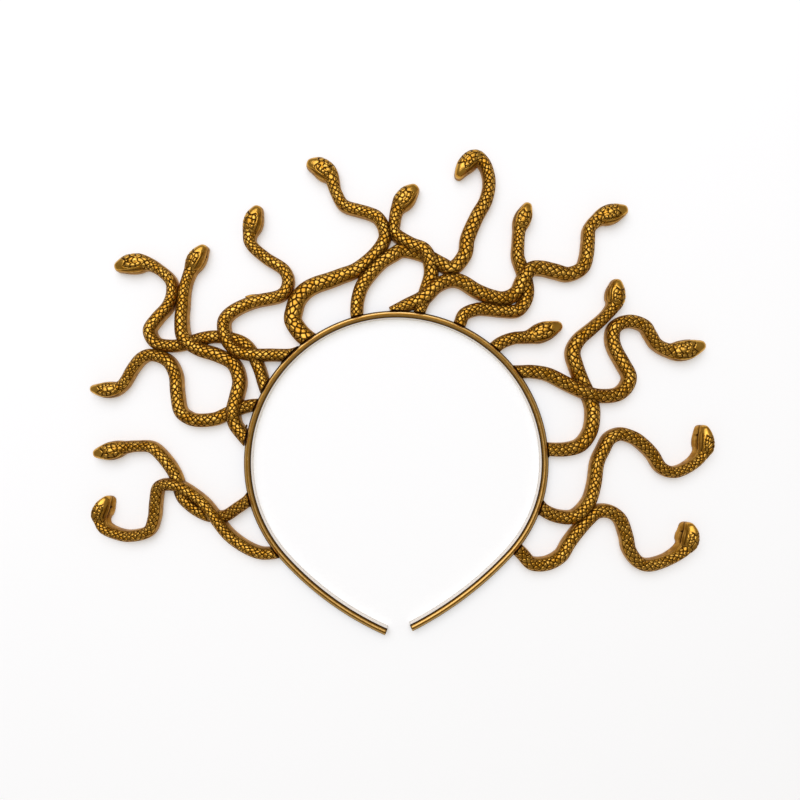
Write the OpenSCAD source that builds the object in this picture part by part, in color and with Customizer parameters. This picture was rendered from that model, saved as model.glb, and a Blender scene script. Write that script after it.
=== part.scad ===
// Serpent diadem, lying on its back: an open metal headband with sixteen cast snakes round it.
// +X is to the right, +Y is to the crown of the hoop and +Z is to the front. The origin is the
// centre of the hoop's round stretch, on the plane of the flat backs. Millimetres.

/* [Band] */
// Outer radius of the band's round stretch
band_r = 68.5; // [66:0.5:71]
// Width of the band's bar, seen from the front
band_w = 3.1; // [2.6:0.1:3.6]
// Depth of the band's bar, from its flat back to its rounded front
band_d = 4.6; // [4:0.1:6]
// How far the rounded front stands above the bar's straight sides
band_crown = 1.3; // [0.8:0.1:1.3]
// Outer radius of the left side below the horizontal, as a share of band_r
left_side = 0.95; // [0.93:0.01:0.98]
// Outer radius of the right side below the horizontal, as a share of band_r
right_side = 0.9; // [0.88:0.01:0.94]
// Angle through which the left side bends before the left leg
left_side_turn = 42; // [40:1:46]
// Angle through which the right side bends before the right leg
right_side_turn = 43; // [41:1:46]
// How much the left leg still turns on its way to its end
left_leg_turn = 24; // [18:1:28]
// How much the right leg still turns on its way to its end
right_leg_turn = 20; // [16:1:24]
// Distance of the left end from the middle of the hoop
left_end = 4.6; // [3:0.1:8]
// Distance of the right end from the middle of the hoop
right_end = 6.8; // [4:0.1:9]

/* [Snakes] */
// Width of a snake's body
snake_w = 5.9; // [5.3:0.1:6.3]
// Depth of a snake's body, from its flat back to the ridge of its scales
snake_d = 6.2; // [5:0.1:7.2]
// Clearance between the castings' roots and the band
solder_gap = 0.1; // [0.05:0.05:0.2]

/* [Heads] */
// Length of a head, from the snout to the back of the jaw
head_l = 15; // [13.4:0.1:16.4]
// Width of a head across the jaw
head_w = 8.7; // [7.8:0.1:9.4]
// Depth of a head, from the back to the crown
head_d = 7.2; // [6.4:0.1:8]
// Thickness of the raised brows and of the snout plate
brow_t = 1.1; // [0.9:0.1:1.4]

/* [Hidden] */
ring_step = 3.7;
curve_steps = 5;
bend_steps = 10;
fine = 96;

// Section of a body. Columns: across, as a share of the half width, and up, as a share of
// the depth.
SECTION = [
    [-0.9, 0], [0.9, 0], [1, 0.26], [0.95, 0.62], [0.7, 0.87],
    [0.27, 1], [-0.27, 1], [-0.7, 0.87], [-0.95, 0.62], [-1, 0.26]
];

// Shape of a head. Columns: along, as a share of the head's length; wide, as a share of the
// head's width; tall, as a share of the head's depth.
HEAD = [
    [0, 0.28, 0.5], [0.05, 0.5, 0.68], [0.18, 0.72, 0.86], [0.36, 0.9, 0.96],
    [0.56, 1, 1], [0.76, 0.96, 0.97], [1, 0.76, 0.84]
];

// Places along a body at which its widths are given, from the back of the jaw to the root.
GIRTH_AT = [0, 0.3, 0.8, 1];

// The snakes of each casting. A snake is its head's length and width as shares of head_l and
// head_w, how far its crown leans to the left of its run as a share of its depth, its widths
// at the places of GIRTH_AT as shares of snake_w, and its route from the snout to the root.
// Columns of a route: across and up, as shares of band_r, and tall, as a share of snake_d.
LEFT_PAIR = [
    [0.99, 0.94, 0, [0.84, 0.96, 0.92, 0.9], [
        [-1.99, 0.06, 1], [-1.87, 0.08, 1], [-1.79, 0.10, 1], [-1.70, 0.11, 1],
        [-1.60, 0.10, 1], [-1.51, 0.01, 0.95], [-1.45, -0.09, 0.8], [-1.41, -0.21, 0.95],
        [-1.36, -0.27, 0.95], [-1.29, -0.32, 0.95], [-1.22, -0.35, 0.8], [-1.13, -0.35, 0.85],
        [-1.05, -0.30, 1], [-0.98, -0.25, 1], [-0.94, -0.20, 1]
    ]],
    [0.84, 0.82, -0.3, [0.82, 0.94, 0.94, 0.9], [
        [-1.88, -0.22, 1], [-1.92, -0.29, 1], [-1.94, -0.35, 1], [-1.92, -0.42, 1],
        [-1.85, -0.46, 1], [-1.75, -0.48, 1], [-1.63, -0.45, 1], [-1.59, -0.36, 1],
        [-1.58, -0.26, 1], [-1.56, -0.16, 1.05], [-1.49, -0.14, 1.15], [-1.41, -0.16, 1.1],
        [-1.28, -0.25, 1.05], [-1.20, -0.34, 1.15], [-1.11, -0.46, 1.05], [-1.01, -0.54, 1],
        [-0.90, -0.59, 1], [-0.80, -0.59, 1], [-0.74, -0.57, 1]
    ]]
];

LEFT_CLUSTER = [
    [1.06, 1.03, 0, [0.82, 0.97, 0.98, 0.92], [
        [-1.85, 1.28, 1], [-1.72, 1.31, 1], [-1.61, 1.30, 1], [-1.49, 1.21, 1],
        [-1.47, 1.12, 1], [-1.50, 1.03, 1], [-1.57, 0.95, 1], [-1.62, 0.87, 1],
        [-1.58, 0.79, 0.95], [-1.49, 0.77, 0.9], [-1.40, 0.78, 0.8], [-1.27, 0.82, 0.9],
        [-1.16, 0.83, 0.8], [-1.03, 0.80, 0.8], [-0.96, 0.74, 0.85], [-0.90, 0.62, 1],
        [-0.87, 0.52, 1], [-0.84, 0.43, 1]
    ]],
    [0.92, 0.93, 0, [0.82, 1.08, 1.1, 1], [
        [-1.25, 1.43, 1], [-1.31, 1.34, 1], [-1.36, 1.24, 1], [-1.39, 1.14, 1],
        [-1.40, 1.05, 1], [-1.41, 0.93, 1.05], [-1.39, 0.82, 1.15], [-1.30, 0.75, 1.1],
        [-1.18, 0.71, 1], [-1.07, 0.65, 1], [-1.03, 0.54, 1], [-1.05, 0.43, 1.05],
        [-1.07, 0.34, 1.15], [-1.06, 0.26, 1], [-1.02, 0.20, 1], [-0.97, 0.14, 1]
    ]],
    [0.96, 0.83, 0, [0.82, 1, 1.04, 0.96], [
        [-2.01, 0.49, 1], [-1.89, 0.48, 1], [-1.80, 0.51, 1], [-1.73, 0.62, 1],
        [-1.67, 0.69, 1], [-1.60, 0.71, 0.95], [-1.50, 0.67, 1], [-1.45, 0.58, 1],
        [-1.44, 0.47, 1], [-1.42, 0.35, 1], [-1.37, 0.30, 1], [-1.30, 0.28, 1],
        [-1.19, 0.29, 0.95], [-1.10, 0.33, 0.8], [-0.99, 0.37, 0.95], [-0.93, 0.38, 1],
        [-0.88, 0.38, 1]
    ]],
    [0.94, 1, 0, [0.88, 0.96, 1.02, 0.96], [
        [-0.90, 1.69, 1], [-0.94, 1.58, 1], [-0.96, 1.45, 1], [-0.86, 1.35, 1],
        [-0.74, 1.27, 1], [-0.71, 1.18, 1], [-0.76, 1.10, 1], [-0.93, 1.06, 1],
        [-1.05, 1.01, 1], [-1.12, 0.95, 1.05], [-1.13, 0.88, 1.15], [-1.10, 0.79, 1.15],
        [-1.03, 0.73, 1.15], [-0.93, 0.71, 1.05], [-0.82, 0.71, 1], [-0.70, 0.71, 1],
        [-0.63, 0.73, 1]
    ]]
];

TOP_CLUSTER = [
    [0.98, 1.06, 0, [0.88, 0.98, 1.32, 1.38], [
        [-0.59, 1.97, 1], [-0.50, 1.94, 1], [-0.43, 1.88, 1], [-0.40, 1.79, 1],
        [-0.36, 1.71, 1], [-0.32, 1.68, 1], [-0.25, 1.66, 1], [-0.18, 1.64, 1],
        [-0.12, 1.61, 1], [-0.08, 1.54, 1], [-0.08, 1.46, 1], [-0.15, 1.36, 1],
        [-0.26, 1.27, 1], [-0.36, 1.23, 1], [-0.44, 1.20, 1], [-0.53, 1.17, 1],
        [-0.60, 1.13, 1], [-0.65, 1.07, 1], [-0.67, 1.01, 1], [-0.68, 0.94, 1],
        [-0.64, 0.87, 1], [-0.59, 0.82, 1], [-0.53, 0.78, 1]
    ]],
    [0.94, 1.06, 0, [0.9, 1.04, 1.2, 0.85], [
        [0.14, 1.82, 1], [0.07, 1.75, 1], [0.01, 1.67, 1], [-0.01, 1.59, 1],
        [-0.01, 1.51, 1], [0.09, 1.44, 1.05], [0.18, 1.40, 1.15], [0.22, 1.33, 1],
        [0.23, 1.24, 0.85], [0.20, 1.13, 0.85], [0.16, 1.02, 1], [0.15, 0.96, 1]
    ]],
    [1.06, 0.98, 0, [0.92, 1.14, 1.08, 0.98], [
        [0.40, 1.87, 1], [0.45, 1.95, 1], [0.52, 2.00, 1], [0.58, 1.96, 1],
        [0.61, 1.85, 1], [0.59, 1.73, 1], [0.53, 1.62, 1], [0.47, 1.48, 1],
        [0.45, 1.37, 1], [0.37, 1.28, 1], [0.29, 1.31, 0.95], [0.18, 1.37, 0.8],
        [0.05, 1.40, 0.85], [-0.02, 1.37, 0.95], [-0.11, 1.31, 1], [-0.21, 1.19, 1],
        [-0.25, 1.09, 1], [-0.26, 0.99, 1], [-0.25, 0.93, 1]
    ]],
    [0.9, 0.9, 0, [0.9, 1.06, 1, 0.97], [
        [0.87, 1.71, 1], [0.84, 1.63, 1], [0.81, 1.54, 1], [0.80, 1.43, 1],
        [0.80, 1.35, 0.95], [0.83, 1.27, 0.8], [0.85, 1.20, 0.95], [0.86, 1.12, 1],
        [0.84, 1.05, 1], [0.79, 1.00, 1], [0.70, 1.00, 0.95], [0.60, 1.01, 0.95],
        [0.53, 1.01, 1], [0.45, 0.98, 1], [0.42, 0.92, 1], [0.40, 0.87, 1]
    ]],
    [0.98, 1.02, 0, [0.92, 1.16, 1.1, 0.6], [
        [1.52, 1.67, 1], [1.43, 1.64, 1], [1.34, 1.61, 1], [1.27, 1.54, 1],
        [1.26, 1.45, 1], [1.25, 1.36, 1], [1.22, 1.28, 1], [1.13, 1.24, 1],
        [1.04, 1.26, 1], [0.95, 1.28, 1], [0.88, 1.27, 1.1], [0.83, 1.20, 1.1],
        [0.79, 1.12, 1], [0.71, 1.08, 1.05], [0.63, 1.09, 1.05], [0.53, 1.13, 1],
        [0.43, 1.19, 1], [0.35, 1.20, 1.05], [0.26, 1.16, 1.15], [0.17, 1.08, 1.1],
        [0.07, 1.04, 1], [-0.04, 1.00, 0.9]
    ]]
];

SMALL_SNAKE = [
    [1.1, 1.04, 0, [0.85, 0.95, 1, 1], [
        [1.09, 0.91, 1], [0.99, 0.87, 1], [0.87, 0.83, 1], [0.77, 0.82, 1],
        [0.69, 0.79, 1], [0.64, 0.75, 1], [0.61, 0.72, 1]
    ]]
];

RIGHT_UPPER_PAIR = [
    [0.9, 1, 0, [0.86, 1.14, 1.1, 1.02], [
        [1.45, 1.21, 1], [1.44, 1.12, 1], [1.43, 1.04, 1], [1.37, 0.96, 1],
        [1.28, 0.88, 1], [1.20, 0.81, 1], [1.16, 0.73, 1], [1.18, 0.64, 0.95],
        [1.22, 0.54, 0.8], [1.28, 0.40, 0.95], [1.29, 0.30, 1], [1.27, 0.20, 1],
        [1.21, 0.12, 1], [1.12, 0.09, 1], [1.00, 0.09, 1], [0.94, 0.11, 1]
    ]],
    [1.14, 1.06, 0, [0.9, 1.08, 1.1, 0.98], [
        [2.03, 0.78, 1], [1.89, 0.74, 1], [1.79, 0.74, 1], [1.71, 0.78, 1],
        [1.67, 0.84, 1], [1.63, 0.90, 1], [1.55, 0.93, 1], [1.48, 0.92, 1],
        [1.43, 0.88, 1], [1.42, 0.81, 1], [1.44, 0.74, 1], [1.49, 0.65, 1],
        [1.53, 0.57, 1], [1.51, 0.50, 1], [1.45, 0.45, 1], [1.35, 0.44, 1.05],
        [1.25, 0.46, 1.15], [1.12, 0.52, 1], [1.00, 0.58, 1], [0.90, 0.60, 1],
        [0.82, 0.60, 1], [0.75, 0.60, 1]
    ]]
];

RIGHT_LOWER_PAIR = [
    [0.94, 0.87, 0.3, [0.8, 1.02, 1.05, 1], [
        [2.01, 0.25, 1], [2.02, 0.15, 1], [2.01, 0.07, 1], [1.94, -0.01, 1],
        [1.83, -0.06, 1], [1.74, -0.03, 1], [1.68, 0.06, 1], [1.61, 0.13, 1],
        [1.55, 0.17, 1], [1.47, 0.19, 1], [1.40, 0.16, 1], [1.36, 0.09, 1],
        [1.32, 0.00, 1], [1.30, -0.14, 1], [1.26, -0.26, 1.1], [1.17, -0.35, 1.05],
        [1.06, -0.35, 1], [0.97, -0.31, 1], [0.92, -0.25, 1]
    ]],
    [0.84, 0.86, 0.4, [0.85, 1.04, 1.05, 1], [
        [1.91, -0.39, 1], [1.92, -0.47, 1], [1.89, -0.56, 1], [1.79, -0.63, 1],
        [1.67, -0.67, 1], [1.59, -0.65, 1], [1.53, -0.57, 1], [1.51, -0.48, 1],
        [1.47, -0.37, 1], [1.40, -0.32, 1], [1.32, -0.32, 1], [1.26, -0.37, 0.95],
        [1.19, -0.45, 0.95], [1.13, -0.53, 1], [1.08, -0.61, 1], [0.99, -0.66, 1],
        [0.89, -0.66, 1], [0.83, -0.60, 1], [0.77, -0.54, 1]
    ]]
];

// Section of the bar about its middle: a square back under a round front. The front's arc has
// crown_r for radius and reaches crown_turn to each side.
crown_r = (band_w * band_w / 4 + band_crown * band_crown) / (2 * band_crown);
crown_turn = asin(min(1, band_w / 2 / crown_r));
BAR = concat(
    [[-band_w / 2, 0], [band_w / 2, 0]],
    [for (i = [3 : -1 : -3])
        [crown_r * sin(crown_turn * i / 3), band_d - crown_r + crown_r * cos(crown_turn * i / 3)]]
);

// The round stretch, from one side over the crown to the other.
module round_stretch() {
    rotate_extrude(angle = 180, $fn = fine)
        polygon([for (p = BAR) [band_r - band_w / 2 + p.x, p.y]]);
}

// One ring of the bar where it follows an arc of radius mid_r about [x, y], at an angle.
function bar_ring(x, y, mid_r, angle) =
    [for (p = BAR) [x + (mid_r + p.x) * cos(angle), y + (mid_r + p.x) * sin(angle), p.y]];

// The right side below the horizontal: a tighter bend, then a leg that bends more gently. Each
// leaves the one before along its tangent, and the leg ends end_x from the middle of the hoop.
module side_and_leg(side, side_turn, leg_turn, end_x) {
    side_mid_r = band_r * side - band_w / 2;
    shift = band_r * (1 - side);
    leg_mid_r = (shift + side_mid_r * cos(side_turn) - end_x)
        / (cos(side_turn) - cos(side_turn + leg_turn));
    leg_x = shift + (side_mid_r - leg_mid_r) * cos(side_turn);
    leg_y = (leg_mid_r - side_mid_r) * sin(side_turn);
    skin(concat(
        [for (i = [0 : bend_steps - 1])
            bar_ring(shift, 0, side_mid_r, -side_turn * i / bend_steps)],
        [for (i = [0 : bend_steps])
            bar_ring(leg_x, leg_y, leg_mid_r, -side_turn - leg_turn * i / bend_steps)]
    ));
}

module band() {
    color("darkgoldenrod")
        union() {
            round_stretch();
            side_and_leg(right_side, right_side_turn, right_leg_turn, right_end);
            mirror([1, 0, 0])
                side_and_leg(left_side, left_side_turn, left_leg_turn, left_end);
        }
}

// A closed skin over rings that have as many points each. Seen from the first ring, their
// points run anticlockwise.
module skin(rings) {
    sides = len(rings[0]);
    last = (len(rings) - 1) * sides;
    polyhedron(
        points = [for (ring = rings) for (p = ring) p],
        faces = concat(
            [[for (i = [0 : sides - 1]) i]],
            [[for (i = [sides - 1 : -1 : 0]) last + i]],
            [for (r = [0 : len(rings) - 2]) for (i = [0 : sides - 1]) for (half = [0, 1])
                let (a = r * sides + i, b = r * sides + (i + 1) % sides)
                half == 0 ? [a, a + sides, b] : [b, a + sides, b + sides]]
        )
    );
}

// A point at share t of the way from q[1] to q[2], on a smooth curve through four points.
function curve_point(q, t) =
    0.5 * (2 * q[1] + (q[2] - q[0]) * t
        + (2 * q[0] - 5 * q[1] + 4 * q[2] - q[3]) * t * t
        + (3 * q[1] - q[0] - 3 * q[2] + q[3]) * t * t * t);

function smooth(route) =
    let (last = len(route) - 1)
    [for (i = [0 : last - 1])
        let (q = [for (k = [-1 : 2]) route[max(0, min(last, i + k))]])
        for (j = [0 : curve_steps - (i < last - 1 ? 1 : 0)])
            curve_point(q, j / curve_steps)];

// Length run so far at each point of a line, seen from the front.
function run_lengths(line) =
    [for (i = 0, run = 0; i < len(line);
        i = i + 1,
        run = run + (i < len(line)
            ? norm([line[i].x - line[i - 1].x, line[i].y - line[i - 1].y]) : 0)) run];

// The smooth route of a snake as columns against the length from its snout, in millimetres.
function spine(route) =
    let (
        line = [for (p = smooth(route)) [p.x * band_r, p.y * band_r, p.z]],
        runs = run_lengths(line)
    )
    [for (c = [0 : 2]) [for (i = [0 : len(line) - 1]) [runs[i], line[i][c]]]];

function spine_length(spine) = spine[0][len(spine[0]) - 1][0];
function spine_at(spine, run) = [lookup(run, spine[0]), lookup(run, spine[1])];
function heading(spine, run) =
    let (
        reach = 0.6,
        ahead = spine_at(spine, min(run + reach, spine_length(spine))),
        behind = spine_at(spine, max(run - reach, 0))
    )
    (ahead - behind) / norm(ahead - behind);

function column(table, c) = [for (row = table) [row[0], row[c]]];

// Width and depth of a snake at a length from its snout.
function width_at(snake, spine, run) =
    let (
        head = head_l * snake[0],
        along = (run - head) / (spine_length(spine) - head),
        girth = [for (i = [0 : len(GIRTH_AT) - 1]) [GIRTH_AT[i], snake[3][i]]],
        head_width = head_w * snake[1] * lookup(run / head, column(HEAD, 1)),
        blend = lookup(run / head, [[0.76, 0], [1.3, 1]])
    )
    head_width * (1 - blend) + snake_w * lookup(along, girth) * blend;

function depth_at(snake, spine, run) =
    let (
        head = head_l * snake[0],
        body_depth = snake_d * lookup(run, spine[2]),
        head_depth = head_d * lookup(run / head, column(HEAD, 2)),
        blend = lookup(run / head, [[0.76, 0], [1.15, 1]])
    )
    head_depth * (1 - blend) + body_depth * blend;

function lean_at(snake, run) =
    snake[2] * lookup(run / (head_l * snake[0]), [[0, 1], [0.8, 1], [1.7, 0]]);

// A point of a snake: run from the snout, across as a share of the half width to the left
// and up as a share of the depth.
function skin_point(snake, spine, run, across, up) =
    let (
        at = spine_at(spine, run),
        dir = heading(spine, run),
        depth = depth_at(snake, spine, run),
        aside = across * width_at(snake, spine, run) / 2
            + lean_at(snake, run) * (up - 0.5) * depth
    )
    [at.x - dir.y * aside, at.y + dir.x * aside, up * depth];

// A snake's body and head as one skin: the section carried along its route.
module snake_skin(snake, spine) {
    head = head_l * snake[0];
    total = spine_length(spine);
    steps = round((total - head) / ring_step);
    runs = concat(
        [for (row = HEAD) row[0] * head],
        [for (i = [1 : steps]) head + (total - head) * i / steps]
    );
    skin([for (run = runs) [for (s = SECTION) skin_point(snake, spine, run, s[0], s[1])]]);
}

// A raised pad on a head, between places given as along the head, across and up, with a
// radius as a share of brow_t.
module pad(snake, spine, places) {
    head = head_l * snake[0];
    hull()
        for (p = places)
            translate(skin_point(snake, spine, p[0] * head, p[1], p[2]))
                sphere(r = p[3] * brow_t, $fn = 6);
}

// The brows over the eyes, the plate on the snout and the lip of the lower jaw.
module head_relief(snake, spine) {
    for (side = [-1, 1])
        pad(snake, spine, [[0.36, side * 0.6, 0.86, 0.6], [0.6, side * 0.66, 0.86, 0.6]]);
    pad(snake, spine, [
        [0.1, 0, 0.8, 0.8], [0.24, 0.3, 0.9, 0.5], [0.24, -0.3, 0.9, 0.5]
    ]);
    pad(snake, spine, [[0.1, 0, 0.3, 0.8], [0.56, 0.86, 0.25, 0.7], [0.56, -0.86, 0.25, 0.7]]);
}

// One casting: its snakes in one piece, cut to sit round the band's outer face, which is of
// radius face_r about a centre that lies face_x to the right of the origin.
module casting(snakes, face_r = band_r, face_x = 0) {
    color("goldenrod")
        difference() {
            union()
                for (snake = snakes) {
                    spine = spine(snake[4]);
                    snake_skin(snake, spine);
                    head_relief(snake, spine);
                }
            translate([face_x, 0, -1])
                cylinder(r = face_r + solder_gap, h = head_d + snake_d, $fn = fine);
        }
}

module left_pair() { casting(LEFT_PAIR, band_r * left_side, band_r * (left_side - 1)); }
module left_cluster() { casting(LEFT_CLUSTER); }
module top_cluster() { casting(TOP_CLUSTER); }
module small_snake() { casting(SMALL_SNAKE); }
module right_upper_pair() { casting(RIGHT_UPPER_PAIR); }
module right_lower_pair() {
    casting(RIGHT_LOWER_PAIR, band_r * right_side, band_r * (1 - right_side));
}

band();
left_pair();
left_cluster();
top_cluster();
small_snake();
right_upper_pair();
right_lower_pair();
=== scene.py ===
"""Looks of the serpent diadem: an open brass headband lying on its back on white, with sixteen
cast snakes round it, seen from straight above. Everything is in metres, in the part's frame."""

import math

import bpy
import numpy as np
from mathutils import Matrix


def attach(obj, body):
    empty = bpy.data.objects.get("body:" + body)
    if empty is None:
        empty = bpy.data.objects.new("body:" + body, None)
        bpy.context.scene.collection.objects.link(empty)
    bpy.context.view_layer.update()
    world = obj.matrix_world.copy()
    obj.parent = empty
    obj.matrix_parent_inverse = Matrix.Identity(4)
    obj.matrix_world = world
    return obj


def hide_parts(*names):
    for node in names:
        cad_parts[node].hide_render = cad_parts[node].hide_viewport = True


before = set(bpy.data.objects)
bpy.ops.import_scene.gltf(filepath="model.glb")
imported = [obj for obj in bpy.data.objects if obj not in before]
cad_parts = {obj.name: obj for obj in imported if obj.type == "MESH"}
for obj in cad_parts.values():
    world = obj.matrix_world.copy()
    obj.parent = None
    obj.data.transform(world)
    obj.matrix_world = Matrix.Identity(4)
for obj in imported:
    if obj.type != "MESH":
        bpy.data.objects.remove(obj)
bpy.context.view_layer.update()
MM = 0.001
scene = bpy.context.scene
scene.view_settings.view_transform = "Standard"

# ---------------------------------------------------------------- camera
camera_data = bpy.data.cameras.new("camera")
camera_data.lens = 30
camera_data.sensor_width = 36
camera_data.clip_start = 0.01
camera_data.clip_end = 10
camera = bpy.data.objects.new("camera", camera_data)
camera.location = [place * MM for place in (1.665, 28.35, 303)]
scene.collection.objects.link(camera)
scene.camera = camera

# ---------------------------------------------------------------- sizes, in millimetres
# The hoop's outer radius over the crown, and its bar's width, depth and the rise of its front.
BAND_R, BAND_W, BAND_D, BAND_CROWN = 68.5, 3.1, 4.6, 1.3
# Each side of the hoop below the crown: its radius as a share of BAND_R, how far that arc and the
# leg's arc turn, in degrees, and how far the leg's end stays from the middle.
LEFT_SIDE, RIGHT_SIDE = 0.95, 0.9
LEFT_TURN, RIGHT_TURN, LEFT_LEG_TURN, RIGHT_LEG_TURN = 42, 43, 24, 20
LEFT_END, RIGHT_END = 4.6, 6.8
# The bar: how far its inner wall leans in at its foot, the points of its front and of each wall,
# the latter as shares of the walls' height, and how uneven its front is.
WALL_SLANT = 0.5
FRONT_STEPS = 21
WALL_AT = np.array([0.92, 0.6, 0.3, 0.03])
UNEVEN = 0.03
# The snakes' bodies and heads, and how far their roots stay off the band.
SNAKE_W, SNAKE_D, SOLDER_GAP = 6.05, 6.2, 0.1
HEAD_L, HEAD_W, HEAD_D = 15, 9.1, 7.2
# A snake's section, as shares: how far out its dome meets its walls, how high, and the dome's rise.
RIM_OUT, RIM_UP, DOME_RISE = 0.95, 0.62, 0.38
# Points over the dome and down each wall, and the steps between rings on a body and on a head.
DOME_STEPS, WALL_STEPS, RUN_STEP, HEAD_STEP = 40, 6, 0.28, 0.19
# A heading is taken over this length to both sides of a place.
HEADING_SPAN = 0.8
# Scales: their pitch along a body as wide as SNAKE_W, their rows over the dome, and how far they
# stray. The small scales of a crown: their length, their width and how far they stray.
SCALE_PITCH, SCALE_ROWS, SCALE_STRAY = 2.75, 2.9, 0.26
CROWN_LONG, CROWN_WIDE, CROWN_STRAY = 2.5, 1.95, 0.32
# A snake whose last girth is under this has a free tail. The others end at the band.
FREE_TAIL = 0.7
# Heads show more of the jaw that is turned to a point this far above the hoop's centre.
JAWS_FACE_UP = 20

# Shape of a head: along, wide and tall, as shares of its length, width and depth.
HEAD = np.array([
    [0, 0.02, 0.42], [0.006, 0.18, 0.48], [0.02, 0.31, 0.58], [0.05, 0.43, 0.7], [0.1, 0.53, 0.79],
    [0.18, 0.65, 0.86], [0.27, 0.78, 0.92], [0.36, 0.89, 0.96], [0.46, 0.97, 0.985],
    [0.56, 1, 1], [0.66, 0.99, 0.99], [0.76, 0.96, 0.97], [0.88, 0.87, 0.91], [1, 0.76, 0.84],
])
# Where girths are given, as shares of the run from behind the head to the root.
GIRTH_AT = [0, 0.3, 0.8, 1]

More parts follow.
